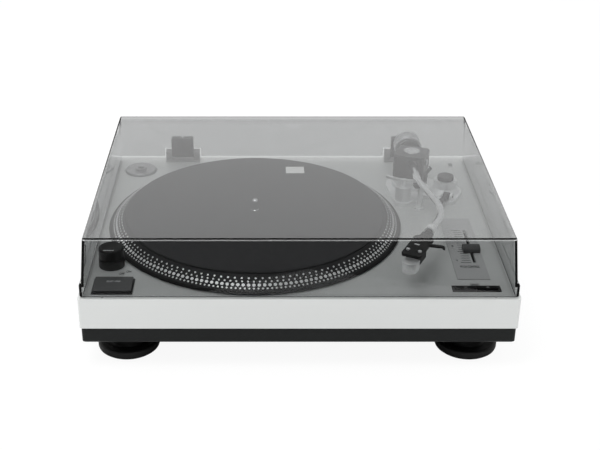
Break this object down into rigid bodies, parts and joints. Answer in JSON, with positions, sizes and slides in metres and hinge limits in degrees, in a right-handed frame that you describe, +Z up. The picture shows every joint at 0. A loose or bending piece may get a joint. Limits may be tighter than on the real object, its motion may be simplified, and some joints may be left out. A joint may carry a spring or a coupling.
{
  "type": "belt drive turntable",
  "caption": "Record turntable with a belt-driven dotted platter, S-shaped tonearm, pitch slider, push buttons, round feet and a hinged smoked dust cover.",
  "frame": {"origin": "on the floor, under the middle of the plinth", "axes": "+X to the right seen from the front, +Y to the rear, +Z up"},
  "size_m": [0.45, 0.36, 0.142],
  "materials": {
    "silver_paint": "satin silver lacquer",
    "arm_silver": "satin",
    "black_plastic": "fine grain",
    "foot_rubber": "matt",
    "screw_steel": "turned",
    "bearing_brass": "turned",
    "board_green": "board lacquer",
    "core_iron": "varnished",
    "panel_grey": "printed",
    "lens_red": "clear red",
    "plated_contacts": "plated",
    "cast_platter": "cast, dark with bare dots",
    "felt": "pressed felt",
    "smoked_acrylic": "smoked clear",
    "gimbal_black": "semi gloss",
    "bright_chrome": "polished",
    "head_black": "satin",
    "stylus_grey": "moulded",
    "guard_clear": "clear",
    "weight_metal": "knurled",
    "button_grey": "satin",
    "knob_black": "satin",
    "adapter_alloy": "turned"
  },
  "bodies": {
    "chassis": {"base_pan": "black_plastic", "cabinet": "silver_paint", "foot_front_left": "foot_rubber", "foot_front_right": "foot_rubber", "foot_rear_left": "foot_rubber", "foot_rear_right": "foot_rubber", "case_screws": "screw_steel", "bearing_housing": "bearing_brass", "thrust_ball": "screw_steel", "motor": "screw_steel", "motor_grommets": "foot_rubber", "motor_screws": "screw_steel", "drive_belt": "foot_rubber", "control_board": "board_green", "tact_switches": "black_plastic", "transformer": "core_iron", "pitch_fader": "black_plastic", "pitch_panel": "panel_grey", "start_bezel": "black_plastic", "speed_bezel": "black_plastic", "rotary_switch": "black_plastic", "strobe_housing": "black_plastic", "strobe_lens": "lens_red", "socket_plate": "black_plastic", "phono_sockets": "plated_contacts", "ground_post": "plated_contacts", "mains_gland": "black_plastic", "arm_base": "arm_silver", "arm_rest": "black_plastic", "hinge_brackets": "black_plastic", "hinge_pins": "screw_steel", "lid_bumpers": "guard_clear"},
    "turning_platter": {"platter": "cast_platter", "spindle": "screw_steel", "slipmat": "felt"},
    "pulley": {"motor_pulley": "bearing_brass"},
    "lid": {"dust_cover": "smoked_acrylic", "hinge_blocks": "black_plastic"},
    "gimbal": {"arm_yoke": "gimbal_black", "yoke_cover": "gimbal_black", "pivot_screws": "screw_steel", "pivot_cap": "bright_chrome"},
    "tonearm": {"arm_tube": "bright_chrome", "headshell": "head_black", "cartridge": "head_black", "stylus": "stylus_grey"},
    "head_collar": {"locking_collar": "bright_chrome"},
    "needle_guard": {"stylus_guard": "guard_clear"},
    "balance_weight": {"counterweight": "weight_metal"},
    "force_ring": {"force_dial": "black_plastic"},
    "skate_knob": {"antiskate_dial": "black_plastic"},
    "lift_lever": {"cue_lever": "black_plastic"},
    "lift_arm": {"cue_lift": "arm_silver"},
    "arm_latch": {"rest_latch": "black_plastic"},
    "start_key": {"start_button": "button_grey"},
    "key_33": {"button_33": "button_grey"},
    "key_45": {"button_45": "button_grey"},
    "pitch_cap": {"pitch_slider": "knob_black"},
    "power_dial": {"power_knob": "knob_black"},
    "single_adapter": {"adapter_45": "adapter_alloy"}
  },
  "joints": [
    {"name": "platter_turn", "type": "hinge", "parent": "chassis", "child": "turning_platter", "pos_m": [-0.046, -0.007, 0.0835], "axis": [0, 0, -1], "continuous": true},
    {"name": "pulley_turn", "type": "hinge", "parent": "chassis", "child": "pulley", "pos_m": [-0.12944, 0.07644, 0.0835], "axis": [0, 0, -1], "continuous": true},
    {"name": "lid_hinge", "type": "hinge", "parent": "chassis", "child": "lid", "pos_m": [0, 0.173, 0.093], "axis": [-1, 0, 0], "range_deg": [0, 70]},
    {"name": "arm_swing", "type": "hinge", "parent": "chassis", "child": "gimbal", "pos_m": [0.142, 0.088, 0.0835], "axis": [0, 0, -1], "range_deg": [0, 43]},
    {"name": "arm_tilt", "type": "hinge", "parent": "gimbal", "child": "tonearm", "pos_m": [0.142, 0.088, 0.1205], "axis": [-0.9272, 0.3746, 0], "range_deg": [0, 3]},
    {"name": "collar_turn", "type": "hinge", "parent": "tonearm", "child": "head_collar", "pos_m": [0.14, -0.1, 0.1205], "axis": [-0.4384, -0.8988, 0], "range_deg": [0, 90]},
    {"name": "guard_slide", "type": "slide", "parent": "tonearm", "child": "needle_guard", "axis": [-0.4384, -0.8988, 0], "range_m": [0, 0.003]},
    {"name": "weight_slide", "type": "slide", "parent": "tonearm", "child": "balance_weight", "axis": [0, 1, 0], "range_m": [0, 0.006]},
    {"name": "force_dial_turn", "type": "hinge", "parent": "tonearm", "child": "force_ring", "pos_m": [0.142, 0.112, 0.1205], "axis": [0, 1, 0], "range_deg": [0, 330]},
    {"name": "antiskate_turn", "type": "hinge", "parent": "chassis", "child": "skate_knob", "pos_m": [0.182, 0.071, 0.0835], "axis": [0, 0, -1], "range_deg": [0, 300]},
    {"name": "cue_lever_turn", "type": "hinge", "parent": "chassis", "child": "lift_lever", "pos_m": [0.182, 0.048, 0.0915], "axis": [-0.8192, 0.5736, 0], "range_deg": [0, 60]},
    {"name": "cue_lift_rise", "type": "slide", "parent": "chassis", "child": "lift_arm", "axis": [0, 0, 1], "range_m": [0, 0.0022]},
    {"name": "latch_turn", "type": "hinge", "parent": "chassis", "child": "arm_latch", "pos_m": [0.15047, 0.02955, 0.1267], "axis": [0.2164, -0.9763, 0], "range_deg": [0, 130]},
    {"name": "start_press", "type": "slide", "parent": "chassis", "child": "start_key", "axis": [0, 0, -1], "range_m": [0, 0.0015], "stiffness_N_per_m": 150, "springref_m": -0.003},
    {"name": "press_33", "type": "slide", "parent": "chassis", "child": "key_33", "axis": [0, 0, -1], "range_m": [0, 0.0015], "stiffness_N_per_m": 150, "springref_m": -0.003},
    {"name": "press_45", "type": "slide", "parent": "chassis", "child": "key_45", "axis": [0, 0, -1], "range_m": [0, 0.0015], "stiffness_N_per_m": 150, "springref_m": -0.003},
    {"name": "pitch_move", "type": "slide", "parent": "chassis", "child": "pitch_cap", "axis": [0, 1, 0], "range_m": [-0.019, 0.041]},
    {"name": "power_turn", "type": "hinge", "parent": "chassis", "child": "power_dial", "pos_m": [-0.198, -0.108, 0.0835], "axis": [0, 0, -1], "range_deg": [0, 70]},
    {"name": "adapter_lift", "type": "slide", "parent": "chassis", "child": "single_adapter", "axis": [0, 0, 1], "range_m": [0, 0.03]}
  ],
  "couplings": [
    {"joint": "pulley_turn", "follows": "platter_turn", "ratio": 17.273},
    {"joint": "cue_lever_turn", "follows": "cue_lift_rise", "rad_per_m": 476}
  ]
}
